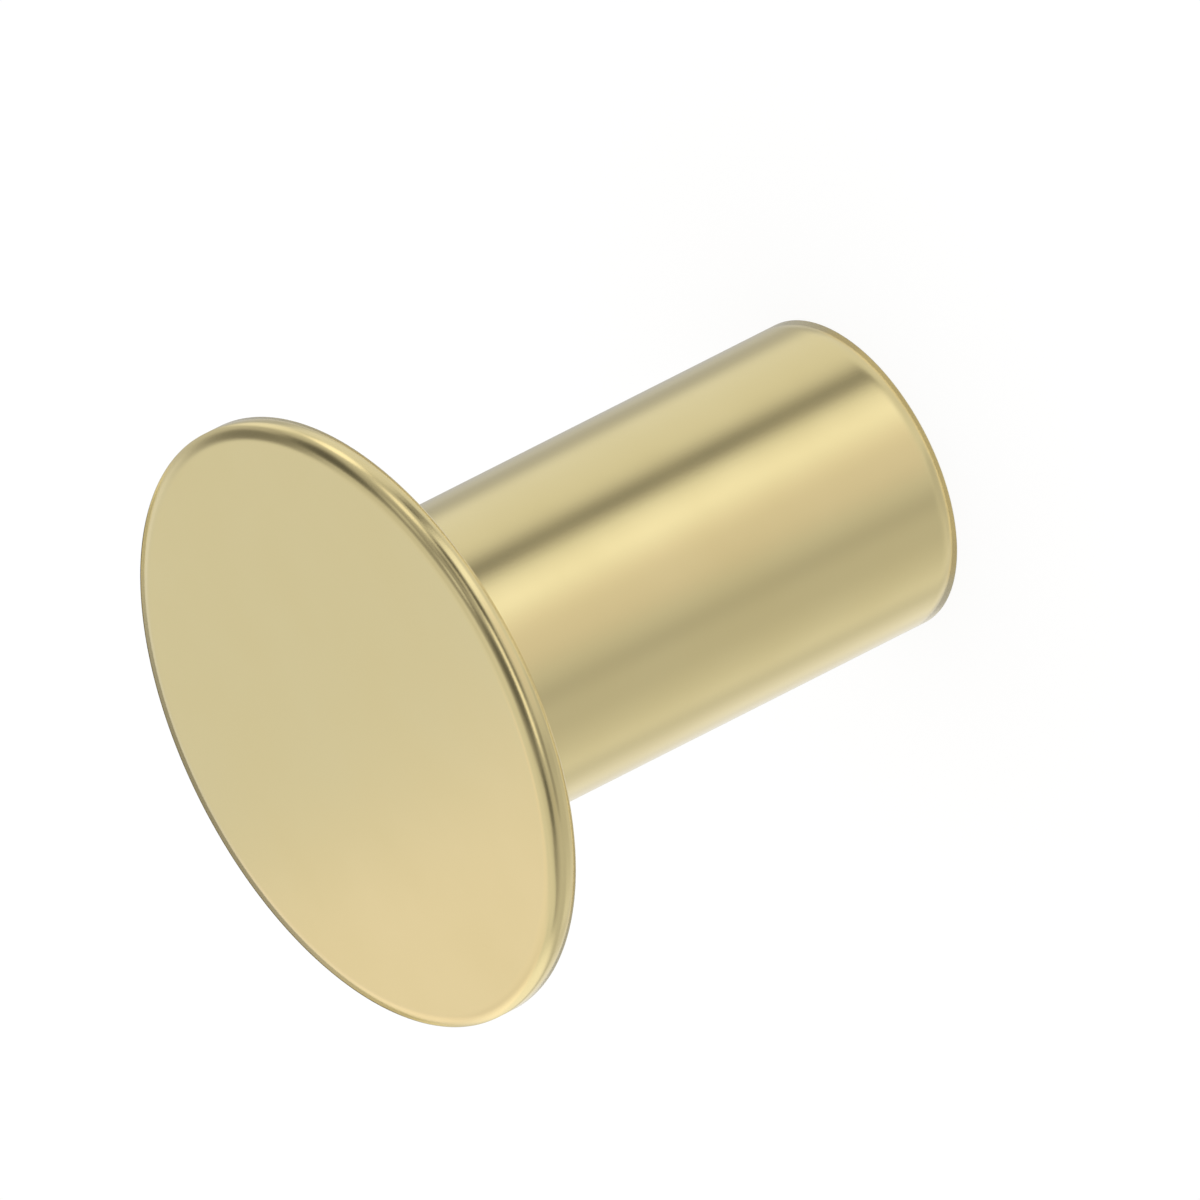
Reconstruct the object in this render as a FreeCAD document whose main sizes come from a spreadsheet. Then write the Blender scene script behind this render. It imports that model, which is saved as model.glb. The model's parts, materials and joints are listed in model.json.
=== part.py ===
import FreeCAD, Part
import math
import os

import Sketcher

# Full tubular rivet in brass: a thin flat head, a plain shank, and a drilled hole that opens at the tail.
# The origin is the centre of the tail's end face. The rivet stands on that face, with its head up along +Z.

NODE = "tubular_rivet"

# Driving sizes in millimetres, and the drill point's angle in degrees
SIZES = {
    "head_diameter": 8.0,
    "head_thickness": 0.355,
    "shank_diameter": 4.08,
    "shank_length": 7.685,  # from the head's underside to the tail's end face
    "shank_wall": 0.54,  # between the shank's outside and the hole
    "hole_web": 0.84,  # metal left between the drill point's tip and the head's outer face
    "drill_point_angle": 118,
    "face_edge_radius": 0.07,  # rim of the head's outer face
    "back_edge_radius": 0.04,  # rim of the head's underside
    "under_head_fillet": 0.12,  # root, where the shank meets the head
    "tail_edge_radius": 0.03,
    "hole_mouth_chamfer": 0.10,
}

SAME_LENGTH = 1e-6  # lengths closer than this are one length, in millimetres

# What follows from the driving sizes, as expressions for the features
HOLE_DIAMETER = "sizes.shank_diameter - 2 * sizes.shank_wall"
DRILL_POINT_LENGTH = f"({HOLE_DIAMETER}) / 2 / tan(sizes.drill_point_angle / 2 * 1deg)"
HOLE_DEPTH = f"sizes.shank_length + sizes.head_thickness - sizes.hole_web - {DRILL_POINT_LENGTH}"


def make_sheet(doc):
    sheet = doc.addObject("Spreadsheet::Sheet", "sizes")
    for row, (alias, value) in enumerate(SIZES.items(), start=1):
        sheet.set(f"A{row}", alias.replace("_", " "))
        sheet.set(f"B{row}", str(value))
        sheet.setAlias(f"B{row}", alias)
    doc.recompute()
    return sheet


def new_sketch(body, name, role):
    plane = next(item for item in body.Origin.OriginFeatures if item.Role == role)
    sketch = body.newObject("Sketcher::SketchObject", name)
    sketch.AttachmentSupport = [(plane, "")]
    sketch.MapMode = "FlatFace"
    return sketch


def drive(sketch, constraint, name, expression):
    index = sketch.addConstraint(constraint)
    sketch.renameConstraint(index, name)
    sketch.setExpression(f"Constraints.{name}", expression)


def make_blank(body, sheet):
    # The headed blank before drilling, turned from half of its section
    tail, shank_side, underside, head_side, head_face, axis = range(6)
    shank_radius = sheet.shank_diameter / 2
    head_radius = sheet.head_diameter / 2
    total_length = sheet.shank_length + sheet.head_thickness
    section = [
        (0, 0),
        (shank_radius, 0),
        (shank_radius, sheet.shank_length),
        (head_radius, sheet.shank_length),
        (head_radius, total_length),
        (0, total_length),
    ]
    corners = [FreeCAD.Vector(across, up, 0) for across, up in section]

    half_section = new_sketch(body, "half_section", "XZ_Plane")
    for start, end in zip(corners, corners[1:] + corners[:1]):
        half_section.addGeometry(Part.LineSegment(start, end))
    for line in range(len(corners)):
        following = (line + 1) % len(corners)
        half_section.addConstraint(Sketcher.Constraint("Coincident", line, 2, following, 1))
    for line in (tail, underside, head_face):
        half_section.addConstraint(Sketcher.Constraint("Horizontal", line))
    for line in (shank_side, head_side, axis):
        half_section.addConstraint(Sketcher.Constraint("Vertical", line))
    half_section.addConstraint(Sketcher.Constraint("Coincident", tail, 1, -1, 1))

    for line, name, length, expression in (
        (tail, "shank_radius", shank_radius, "sizes.shank_diameter / 2"),
        (shank_side, "shank_length", sheet.shank_length, "sizes.shank_length"),
        (head_side, "head_thickness", sheet.head_thickness, "sizes.head_thickness"),
        (head_face, "head_radius", head_radius, "sizes.head_diameter / 2"),
    ):
        drive(half_section, Sketcher.Constraint("Distance", line, length), name, expression)

    blank = body.newObject("PartDesign::Revolution", "blank")
    blank.Profile = half_section
    blank.ReferenceAxis = (half_section, ["V_Axis"])
    blank.Angle = 360
    return blank


def drill_hole(body, sheet):
    # Blind hole up from the tail's end face, with the cone that the drill's point leaves
    hole_circle = new_sketch(body, "hole_circle", "XY_Plane")
    hole_radius = sheet.shank_diameter / 2 - sheet.shank_wall
    centre = FreeCAD.Vector(0, 0, 0)
    hole_circle.addGeometry(Part.Circle(centre, FreeCAD.Vector(0, 0, 1), hole_radius))
    hole_circle.addConstraint(Sketcher.Constraint("Coincident", 0, 3, -1, 1))
    drive(hole_circle, Sketcher.Constraint("Diameter", 0, 2 * hole_radius), "hole_diameter", HOLE_DIAMETER)
    body.Document.recompute()

    hole = body.newObject("PartDesign::Hole", "hole")
    hole.Profile = hole_circle
    hole.Reversed = True
    hole.DepthType = "Dimension"
    hole.DrillPoint = "Angled"
    hole.setExpression("Diameter", HOLE_DIAMETER)
    hole.setExpression("Depth", HOLE_DEPTH)
    hole.setExpression("DrillPointAngle", "sizes.drill_point_angle")
    return hole


def ring_edge(feature, radius, height):
    # The name of the round edge with this radius at this height
    for number, edge in enumerate(feature.Shape.Edges, start=1):
        ring = edge.Curve
        if not isinstance(ring, Part.Circle):
            continue
        if abs(ring.Radius - radius) < SAME_LENGTH and abs(ring.Center.z - height) < SAME_LENGTH:
            return f"Edge{number}"
    raise ValueError(f"{feature.Label} has no round edge of radius {radius} at height {height}")


def soften(body, kind, name, radius, height, size_property, alias):
    # Rounds or bevels one ring of the latest feature
    body.Document.recompute()
    base = body.Tip
    softened = body.newObject(kind, name)
    softened.Base = (base, [ring_edge(base, radius, height)])
    softened.setExpression(size_property, f"sizes.{alias}")


def make_rivet(doc, sheet):
    body = doc.addObject("PartDesign::Body", NODE)
    body.Label = NODE
    body.Placement = FreeCAD.Placement()

    blank = make_blank(body, sheet)
    doc.recompute()
    blank_volume = blank.Shape.Volume
    hole = drill_hole(body, sheet)
    doc.recompute()

    hole_radius = hole.Diameter.Value / 2
    point_length = hole_radius / math.tan(math.radians(sheet.drill_point_angle / 2))
    drilled_out = math.pi * hole_radius**2 * (hole.Depth.Value + point_length / 3)
    if not math.isclose(blank_volume - hole.Shape.Volume, drilled_out, rel_tol=1e-6):
        raise ValueError("the hole doesn't take out the metal that its sizes give")

    head_radius = sheet.head_diameter / 2
    shank_radius = sheet.shank_diameter / 2
    underside = sheet.shank_length
    head_face = underside + sheet.head_thickness
    fillet = "PartDesign::Fillet"
    soften(body, fillet, "face_edge", head_radius, head_face, "Radius", "face_edge_radius")
    soften(body, fillet, "back_edge", head_radius, underside, "Radius", "back_edge_radius")
    soften(body, fillet, "root_fillet", shank_radius, underside, "Radius", "under_head_fillet")
    soften(body, fillet, "tail_edge", shank_radius, 0, "Radius", "tail_edge_radius")
    soften(body, "PartDesign::Chamfer", "hole_mouth", hole_radius, 0, "Size", "hole_mouth_chamfer")
    doc.recompute()
    return body


def check_document(doc, body):
    for item in doc.Objects:
        if "Invalid" in item.State or "Error" in item.State:
            raise ValueError(f"{item.Label} didn't recompute: {item.State}")
    shape = body.Shape
    if shape.isNull() or not shape.isValid() or len(shape.Solids) != 1:
        raise ValueError(f"{body.Label} isn't one valid solid")


doc = FreeCAD.newDocument("rivet")
sheet = make_sheet(doc)
rivet = make_rivet(doc, sheet)
check_document(doc, rivet)

os.makedirs("parts", exist_ok=True)
rivet.Shape.exportStep(f"parts/{rivet.Label}.step")
box = rivet.Shape.optimalBoundingBox()
print(f"{rivet.Label}: {box.XLength:.3f} x {box.YLength:.3f} x {box.ZLength:.3f} mm")
print(f"volume: {rivet.Shape.Volume:.3f} mm3")
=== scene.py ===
import json
import math
import bpy
from mathutils import Euler, Matrix, Vector


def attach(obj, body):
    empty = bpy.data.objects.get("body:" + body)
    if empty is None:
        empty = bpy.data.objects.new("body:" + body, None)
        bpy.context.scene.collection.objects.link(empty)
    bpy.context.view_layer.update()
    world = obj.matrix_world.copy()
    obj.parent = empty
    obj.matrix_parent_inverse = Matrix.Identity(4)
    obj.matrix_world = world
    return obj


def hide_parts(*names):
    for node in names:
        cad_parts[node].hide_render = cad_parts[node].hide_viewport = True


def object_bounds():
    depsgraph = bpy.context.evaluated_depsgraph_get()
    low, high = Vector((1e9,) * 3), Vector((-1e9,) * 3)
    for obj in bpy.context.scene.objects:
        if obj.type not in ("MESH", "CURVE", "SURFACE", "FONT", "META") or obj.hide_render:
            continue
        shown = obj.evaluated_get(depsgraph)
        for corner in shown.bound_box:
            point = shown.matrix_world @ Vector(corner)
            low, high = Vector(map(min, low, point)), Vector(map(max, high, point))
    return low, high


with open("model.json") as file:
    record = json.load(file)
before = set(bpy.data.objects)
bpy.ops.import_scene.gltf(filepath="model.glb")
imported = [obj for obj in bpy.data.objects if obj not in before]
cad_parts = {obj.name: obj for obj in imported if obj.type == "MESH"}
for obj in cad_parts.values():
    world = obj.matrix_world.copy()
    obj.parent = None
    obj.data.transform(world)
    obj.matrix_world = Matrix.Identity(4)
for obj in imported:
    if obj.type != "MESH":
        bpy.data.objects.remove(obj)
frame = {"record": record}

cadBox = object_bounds()
mm = 0.001
mounts = {mount["name"]: mount for mount in frame["record"]["mounts"]}


def srgbToLinear(hexCode):
    channels = [int(hexCode[i:i + 2], 16) / 255 for i in (1, 3, 5)]
    return [c / 12.92 if c <= 0.04045 else ((c + 0.055) / 1.055) ** 2.4 for c in channels] + [1.0]


def fillInputs(tree, node, sources):
    # Each input takes a socket, a node (its first output is meant) or a plain value
    for socket, source in sources.items():
        if isinstance(source, bpy.types.Node):
            source = source.outputs[0]
        if isinstance(source, bpy.types.NodeSocket):
            tree.links.new(source, node.inputs[socket])
        else:
            node.inputs[socket].default_value = source


def addNode(tree, kind, sources=None, **settings):
    node = tree.nodes.new(kind)
    for name, value in settings.items():
        setattr(node, name, value)
    fillInputs(tree, node, sources or {})
    return node


# The rivet: one turned shape
rivet = {
    "node": "tubular_rivet",
    "headRadius": cadBox[1].x,
    "faceHeight": mounts["head_top"]["pos_m"][2],
    "seatHeight": mounts["head_seat"]["pos_m"][2],
    "shankRadius": mounts["shank"]["dims"]["r_mm"] * mm,
    "holeRadius": mounts["tail_hole"]["dims"]["r_mm"] * mm,
    "holeDepth": 6.299 * mm,
    "drillPointAngle": math.radians(118),
    "mouthBevel": 0.10 * mm,
    # roundings
    "faceEdge": 0.070 * mm,
    "backEdge": 0.040 * mm,
    "rootFillet": 0.120 * mm,
    "tailEdge": 0.030 * mm,
    "innerEdge": 0.012 * mm,  # what deburring leaves on the hole's own corners
    "edgeSteps": 8,
    "segments": 256,  # round the axis
    # rings of faces beside each rounding, which carry the eased shading
    "rings": 8,
    "ringGap": 0.003 * mm,  # from the rounding to the first ring
    "ringReach": 0.280 * mm,  # from the rounding to the last ring, where the side is long enough
    # tumbling softens the shading this far from each outer edge
    "faceEase": 0.180 * mm,  # down the rim
    "faceInEase": 0.2575 * mm,  # across the head's face
    "faceShift": 0.0275 * mm,  # moves the middle of the turn down the rim
    "backEase": 0.120 * mm,
    "tailEase": 0.280 * mm,
    "tailQuickness": 1.5,  # over 1, the turn is quicker near the edge than far from it
    "samePlace": 0.0001 * mm,  # points closer than this are merged
    "sameRadius": 0.001 * mm,  # faces no farther than this outside the hole's wall count as inside
}


def buildTurnedTree(inputs):
    tree = bpy.data.node_groups.new("turned rivet", "GeometryNodeTree")
    kinds = {float: "NodeSocketFloat", int: "NodeSocketInt", bpy.types.Material: "NodeSocketMaterial"}
    identifiers = {}
    for name, value in inputs.items():
        socket = tree.interface.new_socket(name, in_out="INPUT", socket_type=kinds[type(value)])
        identifiers[name] = socket.identifier
    tree.interface.new_socket("Geometry", in_out="OUTPUT", socket_type="NodeSocketGeometry")
    size = addNode(tree, "NodeGroupInput").outputs
    index = addNode(tree, "GeometryNodeInputIndex")
    position = addNode(tree, "GeometryNodeInputPosition")

    # The section's corners, from the centre of the head's face round the outside, over the tail and
    # up the hole to the drill point's tip: distance from the axis, height and rounding
    sources = {0: size["Hole Radius"], 1: size["Mouth Bevel"]}
    mouthRadius = addNode(tree, "ShaderNodeMath", sources, operation="ADD")
    corners = (
        (0.0, size["Face Height"], 0.0),
        (size["Head Radius"], size["Face Height"], size["Face Edge"]),
        (size["Head Radius"], size["Seat Height"], size["Back Edge"]),
        (size["Shank Radius"], size["Seat Height"], size["Root Fillet"]),
        (size["Shank Radius"], 0.0, size["Tail Edge"]),
        (mouthRadius, 0.0, size["Inner Edge"]),
        (size["Hole Radius"], size["Mouth Bevel"], size["Inner Edge"]),
        (size["Hole Radius"], size["Hole Depth"], size["Inner Edge"]),
        (0.0, size["Tip Height"], 0.0),
    )
    places = [addNode(tree, "ShaderNodeCombineXYZ", {"X": across, "Z": up}) for across, up, edge in corners]
    edges = [edge for across, up, edge in corners]
    switches = []
    for dataType, items in (("VECTOR", places), ("FLOAT", edges)):
        switch = addNode(tree, "GeometryNodeIndexSwitch", {"Index": index}, data_type=dataType)
        while len(switch.index_switch_items) < len(corners):
            switch.index_switch_items.new()
        fillInputs(tree, switch, dict(enumerate(items, start=1)))
        switches.append(switch)
    cornerPlace, cornerEdge = switches
    line = addNode(tree, "GeometryNodeCurvePrimitiveLine")
    line = addNode(tree, "GeometryNodeResampleCurve", {"Curve": line, "Count": len(corners)})
    outline = addNode(tree, "GeometryNodeSetPosition", {"Geometry": line, "Position": cornerPlace})

    # Each side of the section gets one set of rings after its first corner and one before its
    # second: passed counts the points since the first, and toCome those up to the second
    perSide = 2 * rivet["rings"] + 1
    split = addNode(tree, "GeometryNodeSubdivideCurve", {"Curve": outline, "Cuts": 2 * rivet["rings"]})
    corner = addNode(tree, "FunctionNodeIntegerMath", {0: index, 1: perSide}, operation="DIVIDE")
    passed = addNode(tree, "FunctionNodeIntegerMath", {0: index, 1: perSide}, operation="MODULO")
    following = addNode(tree, "FunctionNodeIntegerMath", {0: corner, 1: 1}, operation="ADD")
    toCome = addNode(tree, "FunctionNodeIntegerMath", {0: perSide, 1: passed}, operation="SUBTRACT")
    ends = []
    for which in (corner, following):
        for dataType, value in (("FLOAT_VECTOR", cornerPlace), ("FLOAT", cornerEdge)):
            sources = {"Geometry": outline, "Value": value, "Index": which}
            ends.append(addNode(tree, "GeometryNodeSampleIndex", sources, data_type=dataType))
    here, hereEdge, there, thereEdge = ends
    length = addNode(tree, "ShaderNodeVectorMath", {0: here, 1: there}, operation="DISTANCE").outputs["Value"]
    middle = addNode(tree, "ShaderNodeMath", {0: length, 1: 0.49}, operation="MULTIPLY")  # just short of it
    held = here
    for origin, edge, other, count, skipped in (
        (here, hereEdge, there, passed, 0),
        (there, thereEdge, here, toCome, rivet["rings"]),
    ):
        first = addNode(tree, "ShaderNodeMath", {0: edge, 1: size["Ring Gap"]}, operation="ADD")
        last = addNode(tree, "ShaderNodeMath", {0: edge, 1: size["Ring Reach"]}, operation="ADD")
        last = addNode(tree, "ShaderNodeMath", {0: last, 1: middle}, operation="MINIMUM")
        sources = {"Value": count, "From Min": 1, "From Max": rivet["rings"], "To Min": first, "To Max": last}
        away = addNode(tree, "ShaderNodeMapRange", sources)
        side = addNode(tree, "ShaderNodeVectorMath", {0: other, 1: origin}, operation="SUBTRACT")
        unit = addNode(tree, "ShaderNodeVectorMath", {0: side}, operation="NORMALIZE")
        ring = addNode(tree, "ShaderNodeVectorMath", {0: unit, 1: away, 2: origin}, operation="MULTIPLY_ADD")
        settings = {"data_type": "INT", "operation": "GREATER_THAN"}
        isRing = addNode(tree, "FunctionNodeCompare", {2: passed, 3: skipped}, **settings)
        sources = {"Switch": isRing, "False": held, "True": ring}
        held = addNode(tree, "GeometryNodeSwitch", sources, input_type="VECTOR")
    ringed = addNode(tree, "GeometryNodeSetPosition", {"Geometry": split, "Position": held})
    onCorner = addNode(tree, "FunctionNodeCompare", {2: passed, 3: 0}, data_type="INT", operation="EQUAL")
    rounding = addNode(tree, "ShaderNodeMath", {0: hereEdge, 1: onCorner}, operation="MULTIPLY")
    sources = {"Curve": ringed, "Radius": rounding, "Limit Radius": True, "Count": size["Edge Steps"]}
    section = addNode(tree, "GeometryNodeFilletCurve", sources, mode="POLY")

    # Turned about the axis: each row of a grid is one point of the section
    rows = addNode(tree, "GeometryNodeAttributeDomainSize", {0: section}, component="CURVE")
    columns = addNode(tree, "FunctionNodeIntegerMath", {0: size["Segments"], 1: 1}, operation="ADD")
    grid = addNode(tree, "GeometryNodeMeshGrid", {"Vertices X": rows, "Vertices Y": columns})
    row = addNode(tree, "FunctionNodeIntegerMath", {0: index, 1: columns}, operation="DIVIDE")
    column = addNode(tree, "FunctionNodeIntegerMath", {0: index, 1: columns}, operation="MODULO")
    sources = {"Geometry": section, "Value": position, "Index": row}
    place = addNode(tree, "GeometryNodeSampleIndex", sources, data_type="FLOAT_VECTOR")
    sources = {"Value": column, "From Max": size["Segments"], "To Max": 2 * math.pi}
    angle = addNode(tree, "ShaderNodeMapRange", sources)
    place = addNode(tree, "ShaderNodeVectorRotate", {"Vector": place, "Angle": angle}, rotation_type="Z_AXIS")
    body = addNode(tree, "GeometryNodeSetPosition", {"Geometry": grid, "Position": place})
    body = addNode(tree, "GeometryNodeMergeByDistance", {"Geometry": body, "Distance": rivet["samePlace"]})
    body = addNode(tree, "GeometryNodeSetShadeSmooth", {"Geometry": body})

    # Shading eased over each outer edge: the normals turn from one flat to the next
    height = addNode(tree, "ShaderNodeSeparateXYZ", {0: position}).outputs["Z"]
    fromAxis = addNode(tree, "ShaderNodeVectorMath", {0: position, 1: (1, 1, 0)}, operation="MULTIPLY")
    distance = addNode(tree, "ShaderNodeVectorMath", {0: fromAxis}, operation="LENGTH").outputs["Value"]
    outward = addNode(tree, "ShaderNodeVectorMath", {0: fromAxis}, operation="NORMALIZE")
    toRim = addNode(tree, "ShaderNodeMath", {0: size["Head Radius"], 1: distance}, operation="SUBTRACT")
    toWall = addNode(tree, "ShaderNodeMath", {0: size["Shank Radius"], 1: distance}, operation="SUBTRACT")
    toFace = addNode(tree, "ShaderNodeMath", {0: size["Face Height"], 1: height}, operation="SUBTRACT")
    toSeat = addNode(tree, "ShaderNodeMath", {0: height, 1: size["Seat Height"]}, operation="SUBTRACT")
    up, down = math.pi / 4, -math.pi / 4  # halfway from the wall's normal to the end face's
    normal = addNode(tree, "GeometryNodeInputNormal")
    for inward, along, inReach, alongReach, shift, quickness, halfway in (
        (toRim, toFace, size["Face In Ease"], size["Face Ease"], size["Face Shift"], 1.0, up),
        (toRim, toSeat, size["Back Ease"], size["Back Ease"], 0.0, 1.0, down),
        (toWall, height, size["Tail Ease"], size["Tail Ease"], 0.0, size["Tail Quickness"], down),
    ):
        # Above 0 across the end face, and below 0 along the wall
        way = addNode(tree, "ShaderNodeMath", {0: inward, 1: along}, operation="SUBTRACT")
        way = addNode(tree, "ShaderNodeMath", {0: way, 1: shift}, operation="ADD")
        onFace = addNode(tree, "ShaderNodeMath", {0: way}, operation="SIGN")
        sources = {"Switch": onFace, "False": alongReach, "True": inReach}
        reach = addNode(tree, "GeometryNodeSwitch", sources, input_type="FLOAT")
        far = addNode(tree, "ShaderNodeMath", {0: way}, operation="ABSOLUTE")
        sources = {"Value": far, "From Max": reach, "To Min": 1.0, "To Max": 0.0}
        left = addNode(tree, "ShaderNodeMapRange", sources)
        left = addNode(tree, "ShaderNodeMath", {0: left, 1: quickness}, operation="POWER")
        sources = {"Value": left, "From Min": 1.0, "From Max": 0.0, "To Max": halfway}
        lean = addNode(tree, "ShaderNodeMapRange", sources)
        angle = addNode(tree, "ShaderNodeMath", {0: lean, 1: onFace, 2: halfway}, operation="MULTIPLY_ADD")
        cosine = addNode(tree, "ShaderNodeMath", {0: angle}, operation="COSINE")
        sine = addNode(tree, "ShaderNodeMath", {0: angle}, operation="SINE")
        upright = addNode(tree, "ShaderNodeCombineXYZ", {"Z": sine})
        sources = {0: outward, 1: cosine, 2: upright}
        leaning = addNode(tree, "ShaderNodeVectorMath", sources, operation="MULTIPLY_ADD")
        farther = addNode(tree, "ShaderNodeMath", {0: inward, 1: along}, operation="MAXIMUM")
        atEdge = addNode(tree, "ShaderNodeMath", {0: farther, 1: inReach}, operation="LESS_THAN")
        sources = {"Switch": atEdge, "False": normal, "True": leaning}
        normal = addNode(tree, "GeometryNodeSwitch", sources, input_type="VECTOR")
    sources = {"Mesh": body, "Custom Normal": normal}
    body = addNode(tree, "GeometryNodeSetMeshNormal", sources, mode="FREE", domain="POINT")
    body = addNode(tree, "GeometryNodeRealizeInstances", {"Geometry": body})
    body = addNode(tree, "GeometryNodeSetMaterial", {"Geometry": body, "Material": size["Outside"]})

    # Faces inside the hole: no farther from the axis than its wall, and below the head
    wall = addNode(tree, "ShaderNodeMath", {0: size["Hole Radius"], 1: rivet["sameRadius"]}, operation="ADD")
    within = addNode(tree, "ShaderNodeMath", {0: distance, 1: wall}, operation="LESS_THAN")
    below = addNode(tree, "ShaderNodeMath", {0: height, 1: size["Seat Height"]}, operation="LESS_THAN")
    drilled = addNode(tree, "ShaderNodeMath", {0: within, 1: below}, operation="MULTIPLY")
    sources = {"Geometry": body, "Selection": drilled, "Material": size["Hole"]}
    body = addNode(tree, "GeometryNodeSetMaterial", sources)
    addNode(tree, "NodeGroupOutput", {0: body})
    return tree, identifiers


def buildRivet(outsideMaterial, holeMaterial):
    pointLength = rivet["holeRadius"] / math.tan(rivet["drillPointAngle"] / 2)
    inputs = {
        "Head Radius": rivet["headRadius"],
        "Face Height": rivet["faceHeight"],
        "Seat Height": rivet["seatHeight"],
        "Shank Radius": rivet["shankRadius"],
        "Hole Radius": rivet["holeRadius"],
        "Hole Depth": rivet["holeDepth"],
        "Tip Height": rivet["holeDepth"] + pointLength,
        "Mouth Bevel": rivet["mouthBevel"],
        "Face Edge": rivet["faceEdge"],
        "Back Edge": rivet["backEdge"],
        "Root Fillet": rivet["rootFillet"],
        "Tail Edge": rivet["tailEdge"],
        "Inner Edge": rivet["innerEdge"],
        "Edge Steps": rivet["edgeSteps"],
        "Segments": rivet["segments"],
        "Ring Gap": rivet["ringGap"],
        "Ring Reach": rivet["ringReach"],
        "Face Ease": rivet["faceEase"],
        "Face In Ease": rivet["faceInEase"],
        "Face Shift": rivet["faceShift"],
        "Back Ease": rivet["backEase"],
        "Tail Ease": rivet["tailEase"],
        "Tail Quickness": rivet["tailQuickness"],
        "Outside": outsideMaterial,
        "Hole": holeMaterial,
    }
    tree, identifiers = buildTurnedTree(inputs)
    holder = bpy.data.objects.new("rivetHolder", bpy.data.meshes.new("rivetHolder"))
    bpy.context.scene.collection.objects.link(holder)
    modifier = holder.modifiers.new("turned rivet", "NODES")
    modifier.node_group = tree
    for name, value in inputs.items():
        modifier[identifiers[name]] = value

    depsgraph = bpy.context.evaluated_depsgraph_get()
    mesh = bpy.data.meshes.new_from_object(holder.evaluated_get(depsgraph))
    holder.modifiers.remove(modifier)
    bpy.data.objects.remove(holder)
    mesh.name = "rivet"
    piece = bpy.data.objects.new("rivet", mesh)
    bpy.context.scene.collection.objects.link(piece)
    return piece


# Pale brass, cold headed from drawn wire and tumbled: clean and satin, so that it mirrors the studio
# in soft bands, with the faintest grain of the tumbling stones
tumbledBrass = {
    "colour": "#F1DEA4",
    "deeperColour": "#EDD99C",
    "roughness": (0.185, 0.225),
    "cloudSize": 1.6 * mm,  # slow changes of tone
    "cloudSpan": (0.3, 0.7),  # where in the clouds the roughness changes
    "grainSize": 0.030 * mm,  # marks of the tumbling stones, drawn as coarse as they need to show
    "grainDepth": 0.0004 * mm,
    "drawSize": 0.045 * mm,  # spacing of the lines that wire drawing leaves, drawn coarser too
    "drawDepth": 0.0002 * mm,
    "drawStretch": 0.02,  # how fast the lines change along the shank, against round it
}


def makeTumbledBrass():
    material = bpy.data.materials.new("pale brass, cold headed and tumbled")
    material.use_nodes = True
    tree = material.node_tree
    place = addNode(tree, "ShaderNodeTexCoord").outputs["Object"]
    sources = {"Vector": place, "Scale": 1 / tumbledBrass["cloudSize"], "Detail": 3.0}
    clouds = addNode(tree, "ShaderNodeTexNoise", sources)
    colours = [srgbToLinear(tumbledBrass[name]) for name in ("colour", "deeperColour")]
    sources = {0: clouds, 6: colours[0], 7: colours[1]}
    tone = addNode(tree, "ShaderNodeMix", sources, data_type="RGBA").outputs[2]
    sources = {0: clouds}
    sources.update(enumerate((*tumbledBrass["cloudSpan"], *tumbledBrass["roughness"]), start=1))
    satin = addNode(tree, "ShaderNodeMapRange", sources)

    stretch = (1, 1, tumbledBrass["drawStretch"])
    drawn = addNode(tree, "ShaderNodeMapping", {"Vector": place, "Scale": stretch})
    sources = {"Vector": drawn, "Scale": 1 / tumbledBrass["drawSize"], "Detail": 2.0}
    lines = addNode(tree, "ShaderNodeTexNoise", sources)
    sources = {"Height": lines, "Distance": tumbledBrass["drawDepth"], "Strength": 1.0}
    bump = addNode(tree, "ShaderNodeBump", sources)
    sources = {"Vector": place, "Scale": 1 / tumbledBrass["grainSize"], "Detail": 2.0}
    grain = addNode(tree, "ShaderNodeTexNoise", sources)
    sources = {"Height": grain, "Distance": tumbledBrass["grainDepth"], "Strength": 1.0, "Normal": bump}
    bump = addNode(tree, "ShaderNodeBump", sources)
    sources = {"Base Color": tone, "Roughness": satin, "Normal": bump, "Metallic": 1.0}
    fillInputs(tree, tree.nodes["Principled BSDF"], sources)
    return material


# The same brass where the drill cut it: duller, with fine rings along the hole
drilledBrass = {
    "colour": "#E9D295",
    "roughness": (0.27, 0.37),
    "ringPitch": 0.10 * mm,  # feed of the drill in one turn
    "ringDepth": 0.0025 * mm,
    "ringWander": 0.4,
}


def makeDrilledBrass():
    material = bpy.data.materials.new("brass, drilled")
    material.use_nodes = True
    tree = material.node_tree
    place = addNode(tree, "ShaderNodeTexCoord").outputs["Object"]
    wavesPerUnit = 20 / (2 * math.pi)  # of the wave texture
    scale = 1 / (drilledBrass["ringPitch"] * wavesPerUnit)
    sources = {"Vector": place, "Scale": scale, "Distortion": drilledBrass["ringWander"], "Detail": 1.0}
    settings = {"wave_type": "BANDS", "bands_direction": "Z", "wave_profile": "SIN"}
    rings = addNode(tree, "ShaderNodeTexWave", sources, **settings).outputs[1]
    low, high = drilledBrass["roughness"]
    dull = addNode(tree, "ShaderNodeMapRange", {"Value": rings, "To Min": low, "To Max": high})
    sources = {"Height": rings, "Distance": drilledBrass["ringDepth"], "Strength": 1.0}
    bump = addNode(tree, "ShaderNodeBump", sources)
    colour = srgbToLinear(drilledBrass["colour"])
    sources = {"Base Color": colour, "Roughness": dull, "Normal": bump, "Metallic": 1.0}
    fillInputs(tree, tree.nodes["Principled BSDF"], sources)
    return material


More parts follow.
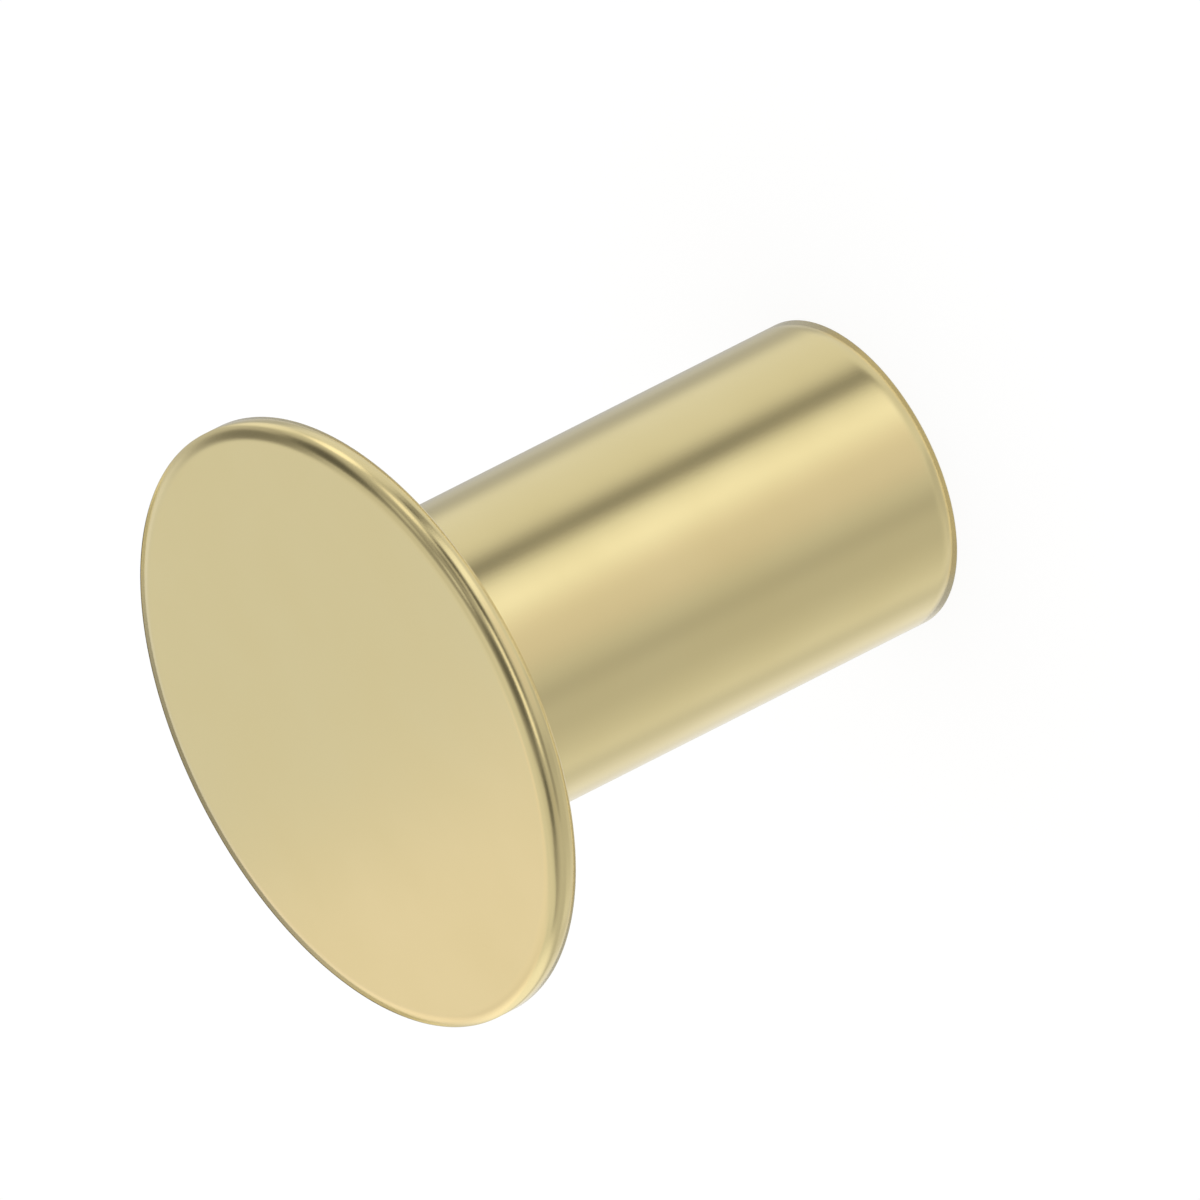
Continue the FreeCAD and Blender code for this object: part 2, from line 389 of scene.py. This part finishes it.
# The studio, as directions from the rivet: azimuth 0 is the camera's side, 90 its left, and
# elevation is above the table. Levels are shares of white.
studio = {
    # below the table's level, round the rivet, where the shank's wall mirrors it: azimuth and level
    "lowRing": (
        (-180, 0.60), (-158, 0.54), (-148, 0.545), (-140, 0.46), (-130, 0.51), (-124, 0.665), (-117, 0.83),
        (-100, 0.79), (-80, 0.78), (-72, 0.70), (-66, 0.46), (-60, 0.22), (-54, 0.32), (-48, 0.72),
        (-41, 0.99), (-28, 1.13), (-16, 0.96), (-4, 0.81), (12, 0.76), (30, 0.615), (43, 0.475), (56, 0.57),
        (70, 0.56), (90, 0.66), (106, 0.78), (119, 0.63), (130, 0.79), (142, 0.92), (180, 0.88),
    ),
    # higher up, to the ceiling: elevation and level
    "walls": ((-15, 0.56), (10, 0.58), (32, 0.40), (48, 0.25), (72, 0.32), (90, 0.50)),
    "ground": 0.74,  # straight below
    "groundToRing": (-58, -33),  # elevations where one passes into the next
    "ringToWalls": (-26, -14),
    "cool": (1.0, 1.03, 1.09),
    "sky": (1.0, 1.045, 1.14),
    "plain": (1.0, 1.0, 1.0),
    "rose": (1.0, 0.98, 1.03),
    "warm": (1.0, 0.94, 0.78),
    "amber": (1.0, 0.92, 0.58),
    # parts of the low ring with a tint of their own: azimuth, elevation, radius and tint
    "panels": ((3, -30, 16, "rose"), (-132, -30, 30, "sky")),
    # soft spots, each over those before it: azimuth, elevation, radius, level and tint
    "spots": (
        # beyond the rivet, from the table's level up
        (135, 12, 22, 1.04, "cool"),
        (135, 55, 18, 0.75, "cool"),
        (180, 45, 24, 0.725, "sky"),
        (180, 84, 18, 0.71, "cool"),
        (180, 12, 14, 0.72, "sky"),
        (168, 12, 7, 0.92, "plain"),
        (-168, 11, 8, 0.79, "sky"),
        # beyond it, below that level, where the head's far edge mirrors them
        (180, -11, 10, 0.05, "warm"),
        (180, -21, 8, 0.05, "warm"),
        (168, -2, 6, 0.90, "amber"),
        (-168, -2, 6, 0.90, "amber"),
        (180, -3, 6, 0.30, "amber"),
        # far below, round the tail
        (90, -60, 10, 0.62, "cool"),
        (46, -60, 15, 0.56, "cool"),
        (0, -90, 9, 0.93, "warm"),
        (105, -76, 9, 0.92, "warm"),
        (-105, -76, 9, 0.92, "warm"),
        (122, -64, 9, 0.95, "warm"),
        (-122, -64, 9, 0.95, "warm"),
        (138, -52, 9, 0.78, "warm"),
        (-138, -52, 9, 0.78, "warm"),
        (153, -41, 9, 0.67, "cool"),
        (-153, -41, 9, 0.67, "cool"),
        # high up, all round
        (-135, 66, 15, 0.64, "cool"),
        (-149, 32, 13, 0.20, "cool"),
        (-100, 27, 7, 0.28, "cool"),
        (-112, 42, 14, 0.10, "cool"),
        (-70, 48, 8, 0.58, "cool"),
        (-35, 53, 7, 0.68, "cool"),
        (95, 62, 12, 0.66, "cool"),
        (112, 42, 9, 0.74, "cool"),
        (12, 46, 17, 0.12, "cool"),
        (62, 42, 10, 0.12, "cool"),
        # near the table's level, from the right round the camera's side to the left
        (-124, -6, 14, 0.92, "cool"),
        (-92, -8, 12, 1.32, "plain"),
        (-58, 6, 10, 1.12, "plain"),
        (-58, -22, 5, 0.10, "cool"),
        (-34, -4, 9, 0.12, "cool"),
        (-32, 22, 9, 0.22, "cool"),
        (-16, -3, 9, 0.10, "cool"),
        (0, -2, 6, 0.16, "cool"),
        (12, -2, 8, 0.20, "cool"),
        (34, -5, 10, 0.30, "cool"),
        (50, -6, 9, 0.32, "cool"),
        (-28, 12, 6, 0.52, "plain"),
        (-2, 15, 8, 1.00, "plain"),
        (14, 17, 8, 1.12, "plain"),
        (28, 18, 8, 1.08, "plain"),
        (56, 14, 9, 0.52, "plain"),
    ),
    "spotFade": (1.45, 0.45),  # shares of a spot's radius, from where it begins to where it is full
}


def direction(azimuth, elevation):
    a, e = math.radians(azimuth), math.radians(elevation)
    return Vector((-math.sin(a) * math.cos(e), -math.cos(a) * math.cos(e), math.sin(e)))


def levelAt(tree, angle, stops):
    low, high = stops[0][0], stops[-1][0]
    share = addNode(tree, "ShaderNodeMapRange", {"Value": angle, "From Min": low, "From Max": high})
    ramp = addNode(tree, "ShaderNodeValToRGB", {0: share})
    elements = ramp.color_ramp.elements
    while len(elements) < len(stops):
        elements.new(1.0)
    for element, (at, level) in zip(elements, stops):
        element.position = (at - low) / (high - low)
        element.color = (level, level, level, 1.0)
    return ramp


def spotShare(tree, way, azimuth, elevation, radius):
    # 1 near the spot's middle, falling softly to 0 outside it
    begins, full = [math.cos(math.radians(radius * share)) for share in studio["spotFade"]]
    sources = {0: way, 1: direction(azimuth, elevation)}
    facing = addNode(tree, "ShaderNodeVectorMath", sources, operation="DOT_PRODUCT").outputs["Value"]
    sources = {"Value": facing, "From Min": begins, "From Max": full}
    return addNode(tree, "ShaderNodeMapRange", sources, interpolation_type="SMOOTHSTEP")


def makeStudio():
    world = bpy.data.worlds.new("studio")
    world.use_nodes = True
    bpy.context.scene.world = world
    tree = world.node_tree
    tree.nodes.clear()
    way = addNode(tree, "ShaderNodeTexCoord").outputs["Generated"]
    turned = addNode(tree, "ShaderNodeVectorMath", {0: way, 1: (-1, -1, 1)}, operation="MULTIPLY")
    parts = addNode(tree, "ShaderNodeSeparateXYZ", {0: turned}).outputs
    azimuth = addNode(tree, "ShaderNodeMath", {0: parts["X"], 1: parts["Y"]}, operation="ARCTAN2")
    azimuth = addNode(tree, "ShaderNodeMath", {0: azimuth}, operation="DEGREES")
    elevation = addNode(tree, "ShaderNodeMath", {0: parts["Z"]}, operation="ARCSINE")
    elevation = addNode(tree, "ShaderNodeMath", {0: elevation}, operation="DEGREES")

    level = studio["ground"]
    for (begins, full), upper in (
        (studio["groundToRing"], levelAt(tree, azimuth, studio["lowRing"])),
        (studio["ringToWalls"], levelAt(tree, elevation, studio["walls"])),
    ):
        sources = {"Value": elevation, "From Min": begins, "From Max": full}
        share = addNode(tree, "ShaderNodeMapRange", sources, interpolation_type="SMOOTHSTEP")
        level = addNode(tree, "ShaderNodeMix", {0: share, 2: level, 3: upper})
    tint = (*studio["cool"], 1.0)
    for *panel, panelTint in studio["panels"]:
        sources = {0: spotShare(tree, way, *panel), 6: tint, 7: (*studio[panelTint], 1.0)}
        tint = addNode(tree, "ShaderNodeMix", sources, data_type="RGBA").outputs[2]
    light = addNode(tree, "ShaderNodeVectorMath", {0: tint, "Scale": level}, operation="SCALE")
    for *spot, spotLevel, spotTint in studio["spots"]:
        colour = [spotLevel * channel for channel in studio[spotTint]] + [1.0]
        sources = {0: spotShare(tree, way, *spot), 6: light, 7: colour}
        light = addNode(tree, "ShaderNodeMix", sources, data_type="RGBA").outputs[2]

    # Only the metal's reflections see the studio, and everything else is white
    path = addNode(tree, "ShaderNodeLightPath").outputs
    mirrored = addNode(tree, "ShaderNodeBackground", {"Color": light, "Strength": 1.0})
    plain = addNode(tree, "ShaderNodeBackground", {"Color": (1, 1, 1, 1), "Strength": 1.0})
    both = addNode(tree, "ShaderNodeMixShader", {0: path["Is Glossy Ray"], 1: plain, 2: mirrored})
    addNode(tree, "ShaderNodeOutputWorld", {0: both})


# A white table top. It keeps a faint shadow, can't be seen from below, and stays out of the metal,
# which mirrors the studio below the table's level as well.
table = {
    "halfWidth": 400 * mm,
    "paper": 0.8,  # as the rivet sees it
    # as the camera sees it: a share that shows the shadow, and a steady glow
    "lit": 0.14,
    "glow": 0.88,
}


def makeTable():
    half = table["halfWidth"]
    corners = [(-half, -half, 0), (half, -half, 0), (half, half, 0), (-half, half, 0)]
    mesh = bpy.data.meshes.new("table")
    mesh.from_pydata(corners, [], [(0, 1, 2, 3)])
    top = bpy.data.objects.new("table", mesh)
    bpy.context.scene.collection.objects.link(top)
    top.visible_glossy = False

    material = bpy.data.materials.new("white paper")
    material.use_nodes = True
    tree = material.node_tree
    tree.nodes.clear()
    paperGrey, litGrey = [(table[name],) * 3 + (1.0,) for name in ("paper", "lit")]
    paper = addNode(tree, "ShaderNodeBsdfDiffuse", {"Color": paperGrey})
    faint = addNode(tree, "ShaderNodeBsdfDiffuse", {"Color": litGrey})
    glow = addNode(tree, "ShaderNodeEmission", {"Color": (1, 1, 1, 1), "Strength": table["glow"]})
    bright = addNode(tree, "ShaderNodeAddShader", {0: faint, 1: glow})
    path = addNode(tree, "ShaderNodeLightPath").outputs
    shown = addNode(tree, "ShaderNodeMixShader", {0: path["Is Camera Ray"], 1: paper, 2: bright})
    behind = addNode(tree, "ShaderNodeNewGeometry").outputs["Backfacing"]
    clear = addNode(tree, "ShaderNodeBsdfTransparent")
    oneSided = addNode(tree, "ShaderNodeMixShader", {0: behind, 1: shown, 2: clear})
    addNode(tree, "ShaderNodeOutputMaterial", {0: oneSided})
    mesh.materials.append(material)


# Seen without perspective, from above the table at the photograph's angle, and rolled so that the
# shank points up to the right. The pixel where the head's face has its centre places the picture.
camera = {
    "photoWidth": 1200,  # pixels
    "pixel": 0.012244 * mm,  # on the object
    "faceCentre": (345.9, 727.5),  # pixels, from the photograph's top left
    "elevation": 30.44,
    "roll": -116.785,
    "distance": 120 * mm,
    "nearest": 1 * mm,
    "farthest": 1000 * mm,
}


def makeCamera():
    data = bpy.data.cameras.new("camera")
    data.type = "ORTHO"
    data.ortho_scale = camera["photoWidth"] * camera["pixel"]
    data.clip_start = camera["nearest"]
    data.clip_end = camera["farthest"]
    holder = bpy.data.objects.new("camera", data)
    bpy.context.scene.collection.objects.link(holder)
    tilt = Euler((math.radians(90 - camera["elevation"]), 0, 0)).to_matrix()
    turn = tilt @ Matrix.Rotation(math.radians(camera["roll"]), 3, "Z")
    right, up, back = turn.col
    middle = (camera["photoWidth"] - 1) / 2
    acrossPixels = camera["faceCentre"][0] - middle
    upPixels = middle - camera["faceCentre"][1]
    faceCentre = Vector((0, 0, rivet["faceHeight"]))
    aim = faceCentre - (right * acrossPixels + up * upPixels) * camera["pixel"]
    place = aim + back * camera["distance"]
    holder.matrix_world = Matrix.Translation(place) @ turn.to_4x4()
    bpy.context.scene.camera = holder


# One wide lamp beyond the head, which gives the head's face its gradient and the table its shadow
lamp = {
    "colour": "#FFD7C7",
    "distance": 28 * mm,
    "width": 22 * mm,
    "height": 26 * mm,
    "edge": -1.3 * mm,  # the lamp's near edge, measured across from the rivet's axis
    "level": 0.164,
}


def makeLamp():
    data = bpy.data.lights.new("softbox", "AREA")
    data.shape = "RECTANGLE"
    data.color = srgbToLinear(lamp["colour"])[:3]
    data.size = lamp["width"]
    data.size_y = lamp["height"]
    data.energy = lamp["level"] * math.pi * lamp["width"] * lamp["height"]
    holder = bpy.data.objects.new("softbox", data)
    bpy.context.scene.collection.objects.link(holder)
    way = direction(180, camera["elevation"])
    place = Vector((lamp["edge"] - lamp["width"] / 2, 0, rivet["faceHeight"])) + way * lamp["distance"]
    holder.matrix_world = Matrix.Translation(place) @ way.to_track_quat("Z", "Y").to_matrix().to_4x4()


print("frame loaded")
outside = makeTumbledBrass()
hole = makeDrilledBrass()
piece = buildRivet(outside, hole)
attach(piece, "root")
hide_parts(rivet["node"])
print("rivet turned:", len(piece.data.polygons), "faces")
makeTable()
makeStudio()
makeLamp()
makeCamera()
print("studio set")

scene = bpy.context.scene
scene.view_settings.view_transform = "Standard"
